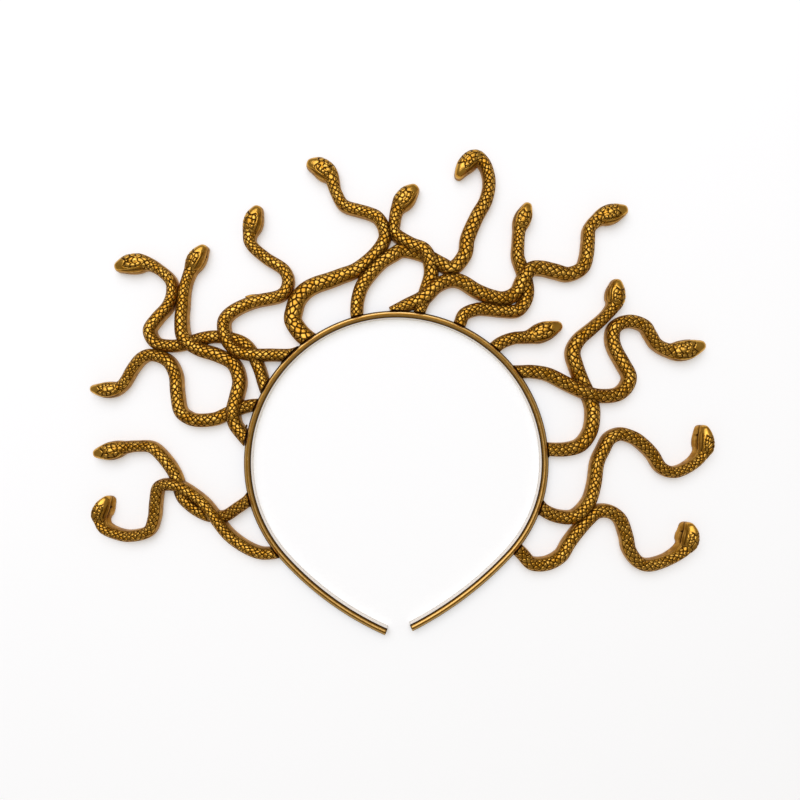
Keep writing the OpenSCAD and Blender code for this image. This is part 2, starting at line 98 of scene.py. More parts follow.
# A snake: its piece's name, the node that it belongs to, its head's length and width as shares of
# HEAD_L and HEAD_W, its lean, its girths at GIRTH_AT as shares of SNAKE_W, and its route from
# snout to root: across and up as shares of BAND_R, and tall as a share of SNAKE_D.
SNAKES = [
    ("snake_left_1", "left_pair", 0.99, 0.94, 0, [0.84, 0.96, 0.92, 0.9], [
        [-1.99, 0.06, 1], [-1.87, 0.08, 1], [-1.79, 0.10, 1], [-1.70, 0.11, 1],
        [-1.60, 0.10, 1], [-1.51, 0.01, 0.95], [-1.45, -0.09, 0.8], [-1.41, -0.21, 0.95],
        [-1.36, -0.27, 0.95], [-1.29, -0.32, 0.95], [-1.22, -0.35, 0.8], [-1.13, -0.35, 0.85],
        [-1.05, -0.30, 1], [-0.98, -0.25, 1], [-0.94, -0.20, 1]]),
    ("snake_left_2", "left_pair", 0.84, 0.82, -0.3, [0.82, 0.94, 0.94, 0.9], [
        [-1.88, -0.22, 1], [-1.92, -0.29, 1], [-1.94, -0.35, 1], [-1.92, -0.42, 1],
        [-1.85, -0.46, 1], [-1.75, -0.48, 1], [-1.63, -0.45, 1], [-1.59, -0.36, 1],
        [-1.58, -0.26, 1], [-1.56, -0.16, 1.05], [-1.49, -0.14, 1.15], [-1.41, -0.16, 1.1],
        [-1.28, -0.25, 1.05], [-1.20, -0.34, 1.15], [-1.11, -0.46, 1.05], [-1.01, -0.54, 1],
        [-0.90, -0.59, 1], [-0.80, -0.59, 1], [-0.74, -0.57, 1]]),
    ("snake_upper_left_1", "left_cluster", 1.06, 1.03, 0, [0.82, 0.97, 0.98, 0.92], [
        [-1.85, 1.28, 1], [-1.72, 1.31, 1], [-1.61, 1.30, 1], [-1.49, 1.21, 1],
        [-1.47, 1.12, 1], [-1.50, 1.03, 1], [-1.57, 0.95, 1], [-1.62, 0.87, 1],
        [-1.58, 0.79, 0.95], [-1.49, 0.77, 0.9], [-1.40, 0.78, 0.8], [-1.27, 0.82, 0.9],
        [-1.16, 0.83, 0.8], [-1.03, 0.80, 0.8], [-0.96, 0.74, 0.85], [-0.90, 0.62, 1],
        [-0.87, 0.52, 1], [-0.84, 0.43, 1]]),
    ("snake_upper_left_2", "left_cluster", 0.92, 0.93, 0, [0.82, 1.08, 1.1, 1], [
        [-1.25, 1.43, 1], [-1.31, 1.34, 1], [-1.36, 1.24, 1], [-1.39, 1.14, 1],
        [-1.40, 1.05, 1], [-1.41, 0.93, 1.05], [-1.39, 0.82, 1.15], [-1.30, 0.75, 1.1],
        [-1.18, 0.71, 1], [-1.07, 0.65, 1], [-1.03, 0.54, 1], [-1.05, 0.43, 1.05],
        [-1.07, 0.34, 1.15], [-1.06, 0.26, 1], [-1.02, 0.20, 1], [-0.97, 0.14, 1]]),
    ("snake_upper_left_3", "left_cluster", 0.96, 0.83, 0, [0.82, 1, 1.04, 0.96], [
        [-2.01, 0.49, 1], [-1.89, 0.48, 1], [-1.80, 0.51, 1], [-1.73, 0.62, 1],
        [-1.67, 0.69, 1], [-1.60, 0.71, 0.95], [-1.50, 0.67, 1], [-1.45, 0.58, 1],
        [-1.44, 0.47, 1], [-1.42, 0.35, 1], [-1.37, 0.30, 1], [-1.30, 0.28, 1],
        [-1.19, 0.29, 0.95], [-1.10, 0.33, 0.8], [-0.99, 0.37, 0.95], [-0.93, 0.38, 1],
        [-0.88, 0.38, 1]]),
    ("snake_upper_left_4", "left_cluster", 0.94, 1, 0, [0.88, 0.96, 1.02, 0.96], [
        [-0.90, 1.69, 1], [-0.94, 1.58, 1], [-0.96, 1.45, 1], [-0.86, 1.35, 1],
        [-0.74, 1.27, 1], [-0.71, 1.18, 1], [-0.76, 1.10, 1], [-0.93, 1.06, 1],
        [-1.05, 1.01, 1], [-1.12, 0.95, 1.05], [-1.13, 0.88, 1.15], [-1.10, 0.79, 1.15],
        [-1.03, 0.73, 1.15], [-0.93, 0.71, 1.05], [-0.82, 0.71, 1], [-0.70, 0.71, 1],
        [-0.63, 0.73, 1]]),
    ("snake_top_1", "top_cluster", 0.98, 1.06, 0, [0.88, 0.98, 1.32, 1.38], [
        [-0.59, 1.97, 1], [-0.50, 1.94, 1], [-0.43, 1.88, 1], [-0.40, 1.79, 1],
        [-0.36, 1.71, 1], [-0.32, 1.68, 1], [-0.25, 1.66, 1], [-0.18, 1.64, 1],
        [-0.12, 1.61, 1], [-0.08, 1.54, 1], [-0.08, 1.46, 1], [-0.15, 1.36, 1],
        [-0.26, 1.27, 1], [-0.36, 1.23, 1], [-0.44, 1.20, 1], [-0.53, 1.17, 1],
        [-0.60, 1.13, 1], [-0.65, 1.07, 1], [-0.67, 1.01, 1], [-0.68, 0.94, 1],
        [-0.64, 0.87, 1], [-0.59, 0.82, 1], [-0.53, 0.78, 1]]),
    ("snake_top_2", "top_cluster", 0.94, 1.06, 0, [0.9, 1.04, 1.2, 0.85], [
        [0.14, 1.82, 1], [0.07, 1.75, 1], [0.01, 1.67, 1], [-0.01, 1.59, 1],
        [-0.01, 1.51, 1], [0.09, 1.44, 1.05], [0.18, 1.40, 1.15], [0.22, 1.33, 1],
        [0.23, 1.24, 0.85], [0.20, 1.13, 0.85], [0.16, 1.02, 1], [0.15, 0.96, 1]]),
    ("snake_top_3", "top_cluster", 1.06, 0.94, 0, [0.92, 1.14, 1.08, 0.98], [
        [0.40, 1.87, 1], [0.45, 1.95, 1], [0.52, 2.00, 1], [0.58, 1.96, 1],
        [0.61, 1.85, 1], [0.59, 1.73, 1], [0.53, 1.62, 1], [0.47, 1.48, 1],
        [0.45, 1.37, 1], [0.37, 1.28, 1], [0.29, 1.31, 0.95], [0.18, 1.37, 0.8],
        [0.05, 1.40, 0.85], [-0.02, 1.37, 0.95], [-0.11, 1.31, 1], [-0.21, 1.19, 1],
        [-0.25, 1.09, 1], [-0.26, 0.99, 1], [-0.25, 0.93, 1]]),
    ("snake_top_4", "top_cluster", 0.9, 0.9, 0, [0.9, 1.06, 1, 0.97], [
        [0.87, 1.71, 1], [0.84, 1.63, 1], [0.81, 1.54, 1], [0.80, 1.43, 1],
        [0.80, 1.35, 0.95], [0.83, 1.27, 0.8], [0.85, 1.20, 0.95], [0.86, 1.12, 1],
        [0.84, 1.05, 1], [0.79, 1.00, 1], [0.70, 1.00, 0.95], [0.60, 1.01, 0.95],
        [0.53, 1.01, 1], [0.45, 0.98, 1], [0.42, 0.92, 1], [0.40, 0.87, 1]]),
    ("snake_top_5", "top_cluster", 0.98, 1.02, 0, [0.92, 1.16, 1.1, 0.6], [
        [1.52, 1.67, 1], [1.43, 1.64, 1], [1.34, 1.61, 1], [1.27, 1.54, 1],
        [1.26, 1.45, 1], [1.25, 1.36, 1], [1.22, 1.28, 1], [1.13, 1.24, 1],
        [1.04, 1.26, 1], [0.95, 1.28, 1], [0.88, 1.27, 1.1], [0.83, 1.20, 1.1],
        [0.79, 1.12, 1], [0.71, 1.08, 1.05], [0.63, 1.09, 1.05], [0.53, 1.13, 1],
        [0.43, 1.19, 1], [0.35, 1.20, 1.05], [0.26, 1.16, 1.15], [0.17, 1.08, 1.1],
        [0.07, 1.04, 1], [-0.04, 1.00, 0.9]]),
    ("snake_short", "small_snake", 1.1, 1.04, 0, [0.85, 0.95, 1, 1], [
        [1.09, 0.91, 1], [0.99, 0.87, 1], [0.87, 0.83, 1], [0.77, 0.82, 1],
        [0.69, 0.79, 1], [0.64, 0.75, 1], [0.61, 0.72, 1]]),
    ("snake_upper_right_1", "right_upper_pair", 0.9, 1, 0, [0.86, 1.14, 1.1, 1.02], [
        [1.45, 1.21, 1], [1.44, 1.12, 1], [1.43, 1.04, 1], [1.37, 0.96, 1],
        [1.28, 0.88, 1], [1.20, 0.81, 1], [1.16, 0.73, 1], [1.18, 0.64, 0.95],
        [1.22, 0.54, 0.8], [1.28, 0.40, 0.95], [1.29, 0.30, 1], [1.27, 0.20, 1],
        [1.21, 0.12, 1], [1.12, 0.09, 1], [1.00, 0.09, 1], [0.94, 0.11, 1]]),
    ("snake_upper_right_2", "right_upper_pair", 1.14, 1.06, 0, [0.9, 1.08, 1.1, 0.98], [
        [2.03, 0.78, 1], [1.89, 0.74, 1], [1.79, 0.74, 1], [1.71, 0.78, 1],
        [1.67, 0.84, 1], [1.63, 0.90, 1], [1.55, 0.93, 1], [1.48, 0.92, 1],
        [1.43, 0.88, 1], [1.42, 0.81, 1], [1.44, 0.74, 1], [1.49, 0.65, 1],
        [1.53, 0.57, 1], [1.51, 0.50, 1], [1.45, 0.45, 1], [1.35, 0.44, 1.05],
        [1.25, 0.46, 1.15], [1.12, 0.52, 1], [1.00, 0.58, 1], [0.90, 0.60, 1],
        [0.82, 0.60, 1], [0.75, 0.60, 1]]),
    ("snake_right_1", "right_lower_pair", 0.94, 0.83, 0.3, [0.8, 1.02, 1.05, 1], [
        [2.01, 0.25, 1], [2.02, 0.15, 1], [2.01, 0.07, 1], [1.94, -0.01, 1],
        [1.83, -0.06, 1], [1.74, -0.03, 1], [1.68, 0.06, 1], [1.61, 0.13, 1],
        [1.55, 0.17, 1], [1.47, 0.19, 1], [1.40, 0.16, 1], [1.36, 0.09, 1],
        [1.32, 0.00, 1], [1.30, -0.14, 1], [1.26, -0.26, 1.1], [1.17, -0.35, 1.05],
        [1.06, -0.35, 1], [0.97, -0.31, 1], [0.92, -0.25, 1]]),
    ("snake_right_2", "right_lower_pair", 0.84, 0.86, 0.4, [0.85, 1.04, 1.05, 1], [
        [1.91, -0.39, 1], [1.92, -0.47, 1], [1.89, -0.56, 1], [1.79, -0.63, 1],
        [1.67, -0.67, 1], [1.59, -0.65, 1], [1.53, -0.57, 1], [1.51, -0.48, 1],
        [1.47, -0.37, 1], [1.40, -0.32, 1], [1.32, -0.32, 1], [1.26, -0.37, 0.95],
        [1.19, -0.45, 0.95], [1.13, -0.53, 1], [1.08, -0.61, 1], [0.99, -0.66, 1],
        [0.89, -0.66, 1], [0.83, -0.60, 1], [0.77, -0.54, 1]]),
]
# Radius and centre, across, of the band's face against which a casting is cut.
FACES = {
    "left_pair": (BAND_R * LEFT_SIDE, BAND_R * (LEFT_SIDE - 1)),
    "right_lower_pair": (BAND_R * RIGHT_SIDE, BAND_R * (1 - RIGHT_SIDE)),
}

# Plates of a head, each mirrored: along and across its middle, half length and half width, as
# shares of the head's length and half width, and how far it turns towards the snout. Some heads
# have a long brow plate and two more behind it, and the others a row of four.
BROWS = [
    (0.47, 0.47, 0.09, 0.22, 0.3), (0.61, 0.56, 0.075, 0.17, 0.05), (0.755, 0.48, 0.07, 0.17, -0.3),
]
ROWS = [
    (0.43, 0.46, 0.068, 0.18, 0.45), (0.55, 0.55, 0.064, 0.17, 0.15),
    (0.665, 0.56, 0.062, 0.16, -0.05), (0.785, 0.49, 0.06, 0.16, -0.3),
]
BROWED = ("snake_upper_left_1", "snake_upper_left_2", "snake_upper_left_4", "snake_short",
          "snake_upper_right_1", "snake_top_2", "snake_top_4", "snake_left_1")


# ---------------------------------------------------------------- mesh helpers
def smoothstep(a, b, x):
    """0 below a, 1 above b, and a cubic S between them."""
    t = np.clip((x - a) / (b - a), 0, 1)
    return t * t * (3 - 2 * t)


def hill(x, middle, spread):
    """A bell curve: 1 at the middle, and falling off over the spread to both sides."""
    return np.exp(-((x - middle) / spread) ** 2)


def noise_of(i, j, seed):
    """A repeatable random number from 0 to 1 for each pair of whole numbers."""
    return np.abs(np.sin(i * 127.1 + j * 311.7 + seed * 74.7) * 43758.5453) % 1


def cells(p, q, seed, jitter):
    """Irregular cells on a square grid of pitch 1, each about a point that lies off its square's
    middle by up to jitter. Gives how far it is to the cell's edge (the distance to the second
    nearest point less that to the nearest), the distance to the nearest, its own number, and
    how far past its point a place lies along p and back along q."""
    near = np.full(p.shape, 9.0)
    second = np.full(p.shape, 9.0)
    own = np.zeros(p.shape)
    past = np.zeros(p.shape)
    i, j = np.floor(p), np.floor(q)
    for di in (-1, 0, 1):
        for dj in (-1, 0, 1):
            a, b = i + di, j + dj
            x = a + 0.5 + jitter * (2 * noise_of(a, b, seed) - 1) - p
            y = b + 0.5 + jitter * (2 * noise_of(b, a, seed + 5) - 1) - q
            far = np.sqrt(x * x + y * y)
            closer = far < near
            second = np.where(closer, near, np.minimum(second, far))
            own = np.where(closer, noise_of(a + 3, b + 8, seed + 2), own)
            past = np.where(closer, (y - x) / 2, past)
            near = np.where(closer, far, near)
    return second - near, near, own, past


def smooth_route(route, per=40):
    """A curve through the route's points: between two of them the cubic whose slopes at its ends
    are half the step between their neighbours."""
    r = np.array(route, float)
    q = np.vstack([r[:1], r, r[-1:]])
    t = np.linspace(0, 1, per, endpoint=False)[None, :, None]
    a, b, c, d = (q[k:len(q) - 3 + k, None, :] for k in range(4))
    curve = 0.5 * (2 * b + (c - a) * t + (2 * a - 5 * b + 4 * c - d) * t ** 2
                   + (3 * b - a - 3 * c + d) * t ** 3)
    return np.vstack([curve.reshape(-1, 3), r[-1:]])


def spine(route):
    """Length run from the snout and the place at it, in millimetres, with the tall share."""
    line = smooth_route(route) * [BAND_R, BAND_R, 1]
    step = np.hypot(*np.diff(line[:, :2], axis=0).T)
    run = np.concatenate([[0], np.cumsum(step)])
    return run, line


def build(name, points, tones, material):
    """A closed skin from a grid of points: rows are rings along the piece and columns run round
    each ring. The first and last rings are closed to their own middles. The tones are kept as the
    attribute that the materials read."""
    rows, cols = points.shape[:2]
    i = np.arange(rows - 1)[:, None] * cols
    k = np.arange(cols)
    n = (k + 1) % cols
    quads = np.stack(np.broadcast_arrays(i + k, i + n, i + cols + n, i + cols + k), -1)
    first = rows * cols
    end = first - cols
    faces = quads.reshape(-1, 4).tolist()
    faces += np.stack([np.full(cols, first), n, k], 1).tolist()
    faces += np.stack([np.full(cols, first + 1), end + k, end + n], 1).tolist()
    verts = np.vstack([points.reshape(-1, 3), points[0].mean(0), points[-1].mean(0)])
    tones = np.vstack([tones.reshape(-1, 4), tones[0].mean(0), tones[-1].mean(0)])
    mesh = bpy.data.meshes.new(name)
    mesh.from_pydata((verts * MM).tolist(), [], faces)
    relief = mesh.attributes.new("relief", "FLOAT_COLOR", "POINT")
    relief.data.foreach_set("color", tones.astype(np.float32).ravel())
    mesh.polygons.foreach_set("use_smooth", np.ones(len(faces), bool))
    mesh.materials.append(material)
    mesh.update()
    thing = bpy.data.objects.new(name, mesh)
    scene.collection.objects.link(thing)
    return thing


# ---------------------------------------------------------------- materials
class Flow:
    """A socket of a material's nodes that takes arithmetic."""

    def __init__(self, tree, socket):
        self.tree, self.socket = tree, socket

    def node(self, kind, settings=None, inputs=None, out=0):
        """Any node: its settings first, then its inputs by name or number."""
        made = self.tree.nodes.new(kind)
        for key, value in (settings or {}).items():
            setattr(made, key, value)
        for key, value in (inputs or {}).items():
            if isinstance(value, Flow):
                self.tree.links.new(value.socket, made.inputs[key])
            else:
                made.inputs[key].default_value = value
        return Flow(self.tree, made.outputs[out])

    def maths(self, how, a, b):
        """A Math node of that operation on a and b."""
        return self.node("ShaderNodeMath", {"operation": how}, {0: a, 1: b})

    def __add__(self, o):
        return self.maths("ADD", self, o)

    __radd__ = __add__

    def __sub__(self, o):
        return self.maths("SUBTRACT", self, o)

    def __rsub__(self, o):
        return self.maths("SUBTRACT", o, self)

    def __mul__(self, o):
        return self.maths("MULTIPLY", self, o)

    __rmul__ = __mul__

    def step(self, low, high, a=0.0, b=1.0):
        """a below low, b above high, and a smooth slope between."""
        return self.node("ShaderNodeMapRange", {"interpolation_type": "SMOOTHSTEP", "clamp": True},
                         {0: self, 1: low, 2: high, 3: a, 4: b})

    def mix(self, a, b):
        """Colour a where this is 0 and colour b where it is 1."""
        a, b = ((*c, 1) if isinstance(c, tuple) else c for c in (a, b))
        return self.node("ShaderNodeMix", {"data_type": "RGBA"}, {0: self, 6: a, 7: b}, 2)


def material(name):
    """A new material, with its shader and a Flow to start from."""
    made = bpy.data.materials.new(name)
    made.use_nodes = True
    shader = made.node_tree.nodes["Principled BSDF"]
    return made, shader, Flow(made.node_tree, None)


def plug(flow, shader, **values):
    """Sets the shader's inputs: a Flow is linked and a number is set on the socket."""
    for key, value in values.items():
        socket = shader.inputs[key.replace("_", " ")]
        if isinstance(value, Flow):
            flow.tree.links.new(value.socket, socket)
        else:
            socket.default_value = value


def cast_brass():
    """Antiqued cast brass: bright rubbed tops, brown slopes and near-black crevices. The relief
    attribute holds the crevices' dark patina together with painted shade where snakes lie against
    each other and a darkening near the band, each scale's own number and where the plain walls are."""
    brown_top, bright_top = (0.4, 0.168, 0.008), (0.7, 0.385, 0.062)
    brown_side, bright_side = (0.31, 0.135, 0.011), (0.53, 0.275, 0.05)
    near_black = (0.055, 0.018, 0.001)
    made, shader, flow = material("antiqued_cast_brass")
    relief = flow.node("ShaderNodeAttribute", {"attribute_name": "relief"})
    crevices_and_shade, own, wall = (
        flow.node("ShaderNodeSeparateColor", {}, {0: relief}, k) for k in range(3))
    place = flow.node("ShaderNodeTexCoord", out=3)
    blotch = flow.node("ShaderNodeTexNoise", {}, {"Vector": place, "Scale": 420.0, "Detail": 4.0})
    grain = flow.node("ShaderNodeTexNoise", {}, {"Vector": place, "Scale": 2600.0, "Detail": 3.0})
    # Near-black from the crevices' patina, from painted shade where snakes touch and from the
    # darkening near the band.
    darkening = (crevices_and_shade + (blotch - 0.5) * 0.35).step(0.1, 0.7)
    tone = (own * 0.4 + blotch * 0.8).step(0.2, 1.0)
    top = tone.mix(brown_top, bright_top)
    side = blotch.step(0.35, 0.7).mix(brown_side, bright_side)
    colour = darkening.mix(wall.mix(top, side), near_black)
    rough = 0.24 + darkening * 0.3 + wall * 0.16 + (grain - 0.5) * 0.14
    bump = flow.node("ShaderNodeBump", {}, {"Strength": 0.25, "Distance": 0.00012,
                                            "Height": grain + blotch * 0.6})
    plug(flow, shader, Base_Color=colour, Roughness=rough, Metallic=1.0, Normal=bump)
    return made


def bar_brass():
    """Drawn brass bar: fine streaks along it, a painted highlight line along its front, painted
    shade at its edges and a painted reflection of the white floor on its inner face. The relief
    attribute holds how dark a place is, as painted shade and highlight, a number that runs round
    the bar and the inner face."""
    brown, streak_and_highlight, floor_reflection_pale = (0.35, 0.16, 0.016), (1.0, 0.67, 0.25), (0.83, 0.76, 0.68)
    near_black = (0.03, 0.013, 0.003)
    made, shader, flow = material("drawn_band_brass")
    relief = flow.node("ShaderNodeAttribute", {"attribute_name": "relief"})
    shade_and_highlight, around, inner = (
        flow.node("ShaderNodeSeparateColor", {}, {0: relief}, k) for k in range(3))
    place = flow.node("ShaderNodeTexCoord", out=3)
    blotch = flow.node("ShaderNodeTexNoise", {}, {"Vector": place, "Scale": 300.0, "Detail": 5.0})
    streak = flow.node("ShaderNodeTexNoise", {"noise_dimensions": "2D"}, {
        "Vector": flow.node("ShaderNodeCombineXYZ", {}, {0: around * 60.0, 1: blotch * 1.2}),
        "Scale": 1.0, "Detail": 3.0})
    speck = flow.node("ShaderNodeTexNoise", {}, {"Vector": place, "Scale": 900.0, "Detail": 2.0})
    # Near-black from the painted shade, the streaks and small specks.
    darkening = (shade_and_highlight + (streak - 0.5) * 0.5 + speck.step(0.68, 0.74) * 0.3).step(0.15, 1.1)
    # The front's colour: the streaks, brightened by the painted highlight and darkened by the
    # painted shade.
    front = (streak - shade_and_highlight * 0.6).step(0.25, 0.95).mix(brown, streak_and_highlight)
    # The inner wall is painted pale as a reflection of the white floor.
    colour = darkening.mix(inner.mix(front, floor_reflection_pale), near_black)
    bump = flow.node("ShaderNodeBump", {}, {"Strength": 0.2, "Distance": 0.0001,
                                            "Height": streak + speck * 0.3})
    plug(flow, shader, Base_Color=colour, Roughness=0.24 + darkening * 0.3 + streak * 0.12,
         Metallic=1.0 - inner * 0.5, Normal=bump)
    return made


CAST = cast_brass()
BAR = bar_brass()

# ---------------------------------------------------------------- snakes
def section():
    """The D round a snake: its dome from left to right, down its right wall, its back and up its
    left wall. The dome rises as one less a power of the share across, itself to a power under
    one, and its points are evenly spaced along it. Gives across and up as shares, the share along
    the dome, and 1 where it is the dome."""
    c = np.sin(np.linspace(math.pi / 2, -math.pi / 2, 400)) * RIM_OUT
    up = RIM_UP + DOME_RISE * (1 - np.abs(c / RIM_OUT) ** 2.6) ** 0.7
    arc = np.concatenate([[0], np.cumsum(np.hypot(np.diff(c) * 2.8, np.diff(up) * 6.2))])
    share = np.linspace(0, 1, DOME_STEPS)
    dome_c, dome_up = np.interp(share * arc[-1], arc, c), np.interp(share * arc[-1], arc, up)
    w = np.linspace(0, 1, WALL_STEPS + 2)[1:]
    wall_up = RIM_UP * (1 - w)
    wall_c = np.interp(wall_up, [0, 0.04, 0.26, RIM_UP], [0.9, 0.96, 1, RIM_OUT])
    across = np.concatenate([dome_c, -wall_c, [-0.3, 0.3], wall_c[::-1]])
    high = np.concatenate([dome_up, wall_up, [0, 0], wall_up[::-1]])
    shares = np.concatenate([share, np.ones(len(w)), [0.5, 0.5], np.zeros(len(w))])
    dome = np.concatenate([np.ones(DOME_STEPS), np.zeros(len(high) - DOME_STEPS)])
    return across, high, shares, dome


ACROSS, UP, SHARE, DOME = section()


def head_relief(h, c, half, length, seed, plates, turned):
    """Plates, small crown scales and rim of a head at places along h and across c, the whole
    moved across by turned, so that more of one jaw lies bare. A plate is an ellipse with a groove
    round it, the crown scales are irregular cells, and the lines are bell curves. Gives the depth
    cut below the skin, the dirt, the scale's own number and 1 where the plain jaw is."""
    edge_c = c
    c = c + turned
    cut = np.zeros(h.shape)
    darkening = np.zeros(h.shape)
    inside = np.zeros(h.shape)
    own = np.full(h.shape, 0.5)
    for n, (h0, c0, rh, rc, turn) in enumerate(plates):
        for side in (1, -1):
            dh, dc = h - h0, c - side * c0
            dc = dc - side * turn * dh * length / half
            q = np.sqrt((dh / rh) ** 2 + (dc / rc) ** 2)
            edge = hill(q, 1.13, 0.17)
            cut = np.where(q < 0.9, 0.1 * q ** 3, np.maximum(cut, 0.36 * edge))
            darkening = np.where(q < 0.85, 0.0, np.maximum(darkening, edge))
            inside = np.maximum(inside, 1 - smoothstep(1.0, 1.3, q))
            number = 0.55 + 0.4 * noise_of(np.float64(n), np.float64(side), seed)
            own = np.where(q < 1.1, number, own)
    edge, near, number, _ = cells(h * length / CROWN_LONG, c * half / CROWN_WIDE + 0.5,
                                  seed + 11, CROWN_STRAY)
    # The snout's one plate ends here, further back in its middle than at its sides.
    aside = np.abs(c)
    rear = 0.42 - 0.2 * aside
    crown = (1 - inside) * smoothstep(rear, rear + 0.02, h) * (1 - smoothstep(0.6, 0.68, aside))
    crack = 1 - smoothstep(0.02, 0.2, edge)
    cut = np.maximum(cut, crown * (0.26 * crack + 0.16 * near ** 2))
    darkening = np.maximum(darkening, crown * crack)
    own = np.where(inside > 0.5, own, np.where(h < rear, 0.8, number))
    # The lines behind the snout's plate, between the crown and the rim, and along the jaw.
    behind = hill(h, rear, 0.018) * (1 - smoothstep(0.5, 0.64, aside))
    rim = hill(aside, 0.7 + 0.06 * np.sin(h * 19 + seed), 0.035) * smoothstep(0.34, 0.42, h)
    jaw = hill(aside, 0.95, 0.06) * smoothstep(0.1, 0.3, h)
    lines = np.maximum(behind, np.maximum(0.8 * rim, 0.65 * jaw))
    bare = np.maximum(smoothstep(0.86, 0.96, aside), smoothstep(0.86, 0.95, np.abs(edge_c)))
    return np.maximum(cut, 0.3 * lines), np.maximum(darkening, 0.9 * lines), own, bare


def body_relief(share, phase, seed):
    """Lozenge scales: irregular cells in rows that run slantwise both ways, each rising towards
    the tail as if it lay on the next. Gives the depth cut, the dirt and the scale's number."""
    a = (share - 0.5) * SCALE_ROWS
    edge, near, own, past = cells(a + phase, a - phase, seed, SCALE_STRAY)
    crack = 1 - smoothstep(0.03, 0.24, edge)
    rise = 0.3 * np.clip(0.35 - past, 0, 0.8)
    return 0.3 * crack + 0.24 * near ** 2 + rise + 0.1 * own, crack, own


def reach_of(row):
    """The middle line of a snake's body with its half width and depth, every half millimetre."""
    run, line = spine(row[6])
    head = HEAD_L * row[2]
    s = np.arange(0, run[-1], 0.5)
    body = SNAKE_W * np.interp((s - head) / (run[-1] - head), GIRTH_AT, row[5]) / 2
    jaw = HEAD_W * row[3] * np.interp(s / head, HEAD[:, 0], HEAD[:, 1]) / 2
    x, y, tall = (np.interp(s, run, line[:, k]) for k in range(3))
    return x, y, np.where(s < head, jaw, body), SNAKE_D * tall


REACHES = {row[0]: (row[1], reach_of(row)) for row in SNAKES}


def contact_shade(points, x, y, name, node):
    """Painted shade where a snake of the same casting lies against this one: a bell curve of
    the distance from the other's edge, and only below the other's ridge."""
    reach, spread, most = 10, 0.4, 0.42
    darkening = np.zeros(points.shape[:2])
    for other, (their_node, (ox, oy, half, deep)) in REACHES.items():
        if other == name or their_node != node:
            continue
        near = np.hypot(x[:, None] - ox, y[:, None] - oy).min(1) < reach
        if not near.any():
            continue
        close = points[near]
        pick = np.hypot(ox[:, None] - x[near], oy[:, None] - y[near]).min(1) < reach
        far = np.hypot(close[..., 0, None] - ox[pick], close[..., 1, None] - oy[pick]) - half[pick]
        k = far.argmin(-1)
        gap = np.take_along_axis(far, k[..., None], -1)[..., 0]
        below = smoothstep(-0.3, 0.5, deep[pick][k] * 0.98 - close[..., 2])
        darkening[near] = np.maximum(darkening[near], hill(np.maximum(gap, 0), 0, spread) * below * most)
    return darkening


def course(route, head):
    """Where the rings of a snake stand: the run from its snout, the place, the tall share and the
    heading, which is the step between two places to both sides, made one long. The rings are
    close at the tip, even on the head and a little further apart on the body."""
    run, line = spine(route)
    total = run[-1]
    s = np.concatenate([head * np.array([0, 0.003, 0.008, 0.014]),
                        np.arange(0.02 * head, 1.05 * head, HEAD_STEP),
                        np.linspace(1.06 * head, total, int(total / RUN_STEP))])
    x, y, tall = (np.interp(s, run, line[:, k]) for k in range(3))
    ahead, behind = np.minimum(s + HEADING_SPAN, total), np.maximum(s - HEADING_SPAN, 0)
    dx, dy = (np.interp(ahead, run, line[:, k]) - np.interp(behind, run, line[:, k])
              for k in range(2))
    size = np.hypot(dx, dy)
    return s, x, y, tall, dx / size, dy / size


def thickness(s, tall, head, wide_share, girth):
    """Width and depth of a snake's rings: the head's from the table HEAD, passing into the body's
    behind the jaw, and then a weighted mean along the run. Gives the body's own width too."""
    h = s / head
    part = (s - head) / (s[-1] - head)
    body = SNAKE_W * np.interp(part, GIRTH_AT, girth)
    if girth[-1] < FREE_TAIL:
        # It stays full almost to its end.
        body *= 1 + 0.34 * np.sin(np.pi * np.clip((part - 0.8) / 0.2, 0, 1))
    blend = smoothstep(0.66, 1.4, h)
    width = HEAD_W * wide_share * np.interp(h, HEAD[:, 0], HEAD[:, 1]) * (1 - blend) + body * blend
    fade = np.clip((h - 0.76) / 0.39, 0, 1)
    depth = HEAD_D * np.interp(h, HEAD[:, 0], HEAD[:, 2]) * (1 - fade) + SNAKE_D * tall * fade
    kernel = np.exp(-np.linspace(-2, 2, 9) ** 2)
    kernel /= kernel.sum()
    for profile in (width, depth):
        profile[8:-8] = np.convolve(profile, kernel, "same")[8:-8]
    return width, depth, body


